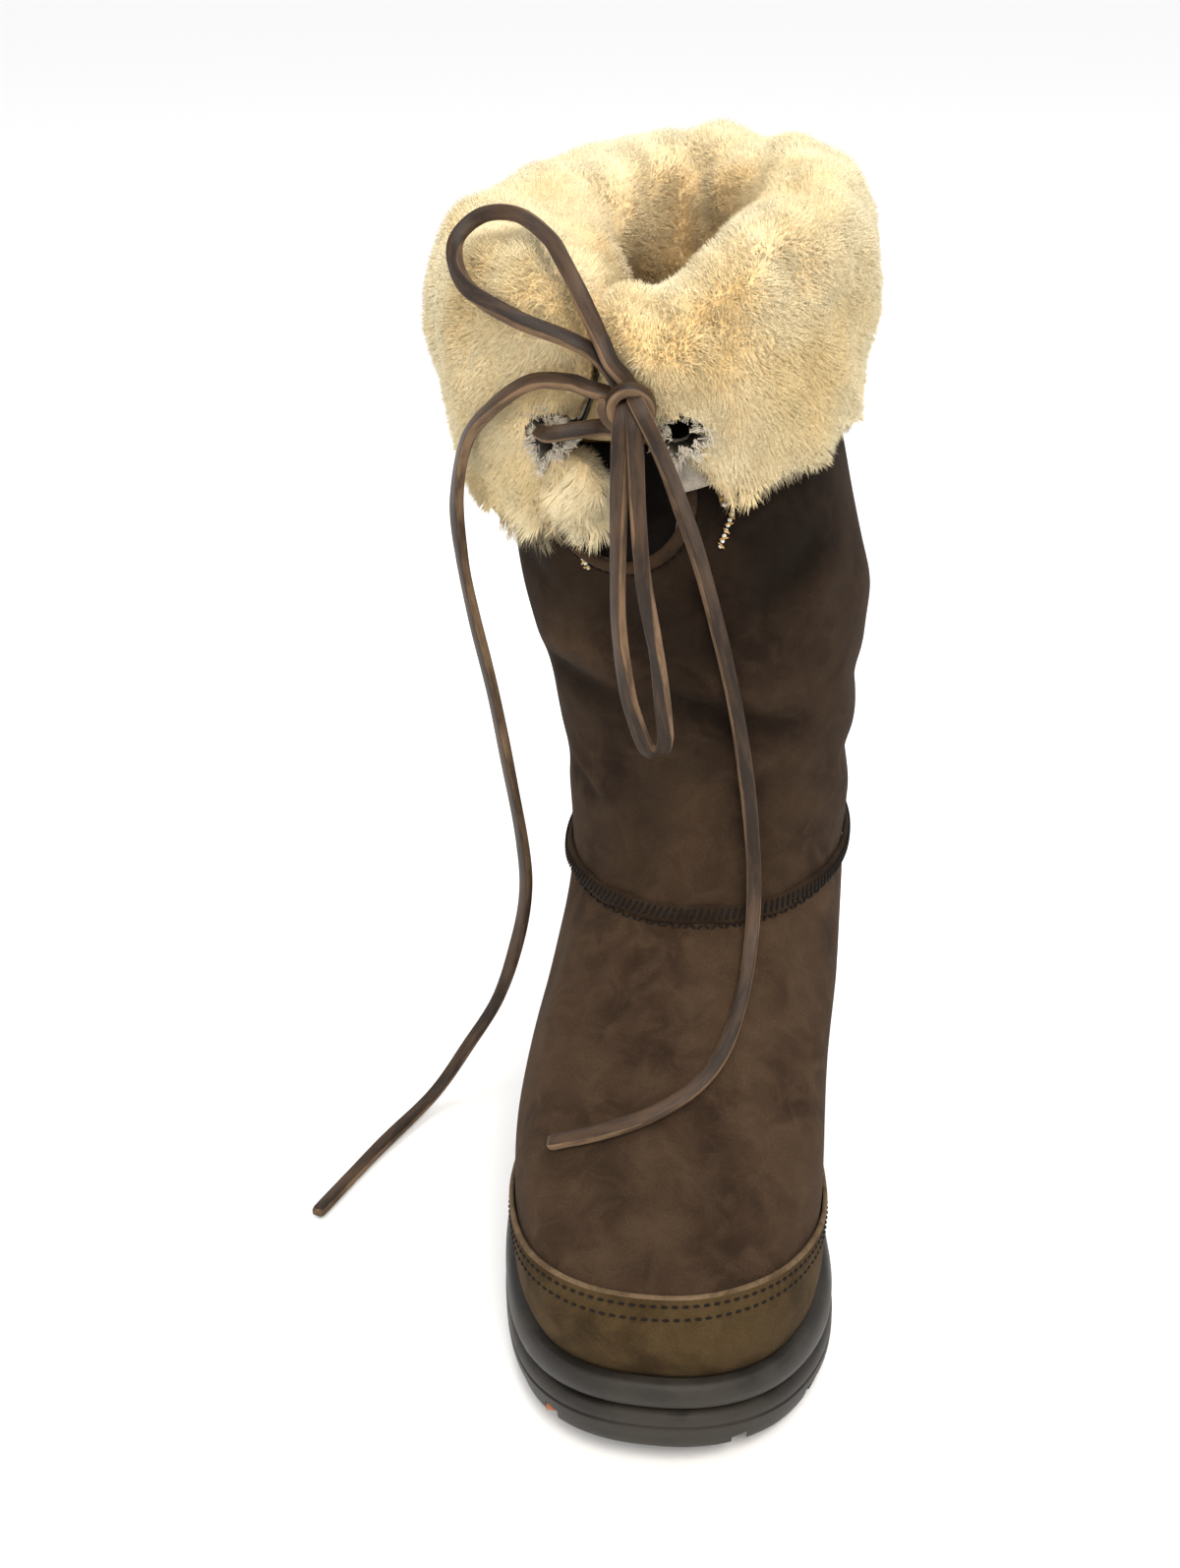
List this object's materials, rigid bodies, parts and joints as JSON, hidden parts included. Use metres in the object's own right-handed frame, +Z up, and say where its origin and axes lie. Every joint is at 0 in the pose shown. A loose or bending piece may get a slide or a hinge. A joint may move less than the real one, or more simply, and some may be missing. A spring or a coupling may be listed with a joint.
{
  "type": "tall sheepskin boot",
  "caption": "Tall brown suede sheepskin boot for the right foot with a fold-down cream fur cuff, braid trim, lugged rubber sole and a leather thong tied in a bow.",
  "frame": {"origin": "on the floor, under the middle of the boot's box without its lace", "axes": "+Z up, toe towards -Y, the inner (big toe) side of the right foot towards +X"},
  "size_m": [0.199, 0.2836, 0.3744],
  "materials": {
    "dark_rubber": "satin",
    "tan_rubber": "matte",
    "brown_suede": "matte",
    "olive_suede": "matte",
    "black_suede": "matte",
    "cream_fur": "matte",
    "gold_ribbon": "satin",
    "leather_thong": "satin"
  },
  "bodies": {
    "root": {"outsole": "dark_rubber", "midsole": "dark_rubber", "tread_pod_toe_inner": "tan_rubber", "tread_pod_toe_outer": "tan_rubber", "tread_pod_10_inner": "tan_rubber", "tread_pod_10_outer": "tan_rubber", "tread_pod_62_inner": "tan_rubber", "tread_pod_62_outer": "tan_rubber", "tread_pod_78_inner": "tan_rubber", "tread_pod_78_outer": "tan_rubber", "insole": "cream_fur", "upper": "brown_suede", "toe_cap": "olive_suede", "heel_counter": "olive_suede", "back_stay": "brown_suede", "instep_seam": "brown_suede", "braid_trim": "gold_ribbon", "throat_binding": "brown_suede", "throat_gusset": "black_suede", "cuff_fur": "cream_fur", "lace_knot": "leather_thong", "lace_bar": "leather_thong", "lace_loop_upper": "leather_thong", "lace_loop_lower": "leather_thong", "lace_end_outer": "leather_thong", "lace_end_inner": "leather_thong"}
  },
  "joints": []
}
